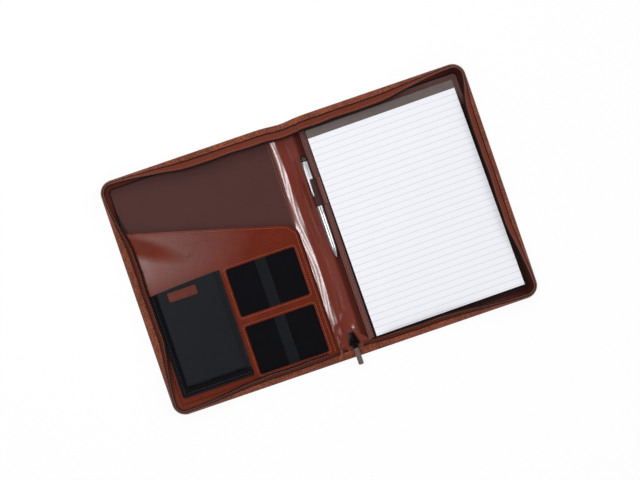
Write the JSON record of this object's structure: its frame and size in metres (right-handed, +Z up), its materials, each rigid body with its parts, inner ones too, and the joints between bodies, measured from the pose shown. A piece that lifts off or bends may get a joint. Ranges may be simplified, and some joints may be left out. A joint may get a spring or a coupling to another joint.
{
  "type": "zippered padfolio",
  "caption": "Leather zip-round folder that opens like a book, with a ruled writing pad and looped pen on one side and tablet, phone and card pockets on the other.",
  "frame": {"origin": "middle of the spine's underside, on the table", "axes": "+X across the open case to the writing pad's half, +Y to the pad's top edge, +Z up from the table"},
  "size_m": [0.518, 0.3433, 0.0187],
  "materials": {
    "cover_leather": "grained, satin",
    "glossy_leather": "smooth, glossy",
    "dark_leather": "smooth, satin",
    "lining": "dull",
    "foam": "open foam sheet",
    "board": "grey-brown board",
    "zip_tape": "woven tape",
    "zip_coil": "nylon coil",
    "black_cloth": "matte",
    "elastic": "ribbed",
    "pages": "ruled",
    "binding_tape": "matte grey tape",
    "pen_chrome": "polished",
    "pen_black": "gloss",
    "refill": "clear tube",
    "slider_metal": "black enamel",
    "pull_leather": "worn grey-brown"
  },
  "bodies": {
    "back_half": {"back_cover_leather": "cover_leather", "back_foam_padding": "foam", "back_stiffener_board": "board", "back_lining": "lining", "back_zip_gusset": "cover_leather", "back_zip_tape": "zip_tape", "back_zip_coil": "zip_coil", "pad_edge_strip": "dark_leather", "pad_sleeve_panel": "dark_leather", "pad_backing_board": "board", "pad_pages": "pages", "pad_binding_tape": "binding_tape", "pen_loop_strap": "dark_leather"},
    "spine": {"spine_leather": "cover_leather", "spine_board": "board", "spine_inner_leather": "glossy_leather", "spine_top_gusset": "cover_leather", "spine_top_tape": "zip_tape", "spine_fold_flap": "cover_leather", "zip_tail": "zip_coil"},
    "front_half": {"front_cover_leather": "cover_leather", "front_foam_padding": "foam", "front_stiffener_board": "board", "front_lining": "lining", "front_zip_gusset": "cover_leather", "front_zip_tape": "zip_tape", "front_zip_coil": "zip_coil", "tablet_pocket_panel": "glossy_leather", "tablet_pocket_hem": "glossy_leather", "phone_pocket": "black_cloth", "phone_pocket_piping": "black_cloth", "phone_pocket_tab": "glossy_leather", "upper_card_window_cloth": "black_cloth", "lower_card_window_cloth": "black_cloth", "upper_card_elastic": "elastic", "lower_card_elastic": "elastic"},
    "pen_loop": {"pen_loop": "dark_leather"},
    "pen": {"pen_cap": "pen_black", "pen_ring": "pen_chrome", "pen_upper_barrel": "pen_chrome", "pen_lower_barrel": "pen_chrome", "pen_tip": "pen_chrome", "pen_refill": "refill", "pen_clip": "pen_chrome"},
    "zip_slider": {"slider_body": "slider_metal", "slider_bail": "slider_metal"},
    "zip_pull": {"pull_link": "slider_metal", "pull_tab": "pull_leather"}
  },
  "joints": [
    {"name": "spine_fold", "type": "hinge", "parent": "back_half", "child": "spine", "pos_m": [0.018, 0, 0.001], "axis": [0, 1, 0], "range_deg": [0, 90]},
    {"name": "front_fold", "type": "hinge", "parent": "spine", "child": "front_half", "pos_m": [-0.018, 0, 0.001], "axis": [0, 1, 0], "range_deg": [0, 90]},
    {"name": "pen_loop_swing", "type": "hinge", "parent": "back_half", "child": "pen_loop", "pos_m": [0.024, 0.0607, 0.00695], "axis": [0, 1, 0], "range_deg": [0, 90]},
    {"name": "pen_slide", "type": "slide", "parent": "pen_loop", "child": "pen", "axis": [0, 1, 0], "range_m": [0, 0.03]},
    {"name": "zip_slide", "type": "slide", "parent": "spine", "child": "zip_slider", "axis": [0, -1, 0], "range_m": [0, 0.012]},
    {"name": "zip_pull_flip", "type": "hinge", "parent": "zip_slider", "child": "zip_pull", "pos_m": [0, -0.1463, 0.0071], "axis": [-1, 0, 0], "range_deg": [0, 150]}
  ],
  "couplings": [
    {"joint": "pen_loop_swing", "follows": "spine_fold", "ratio": 1}
  ]
}
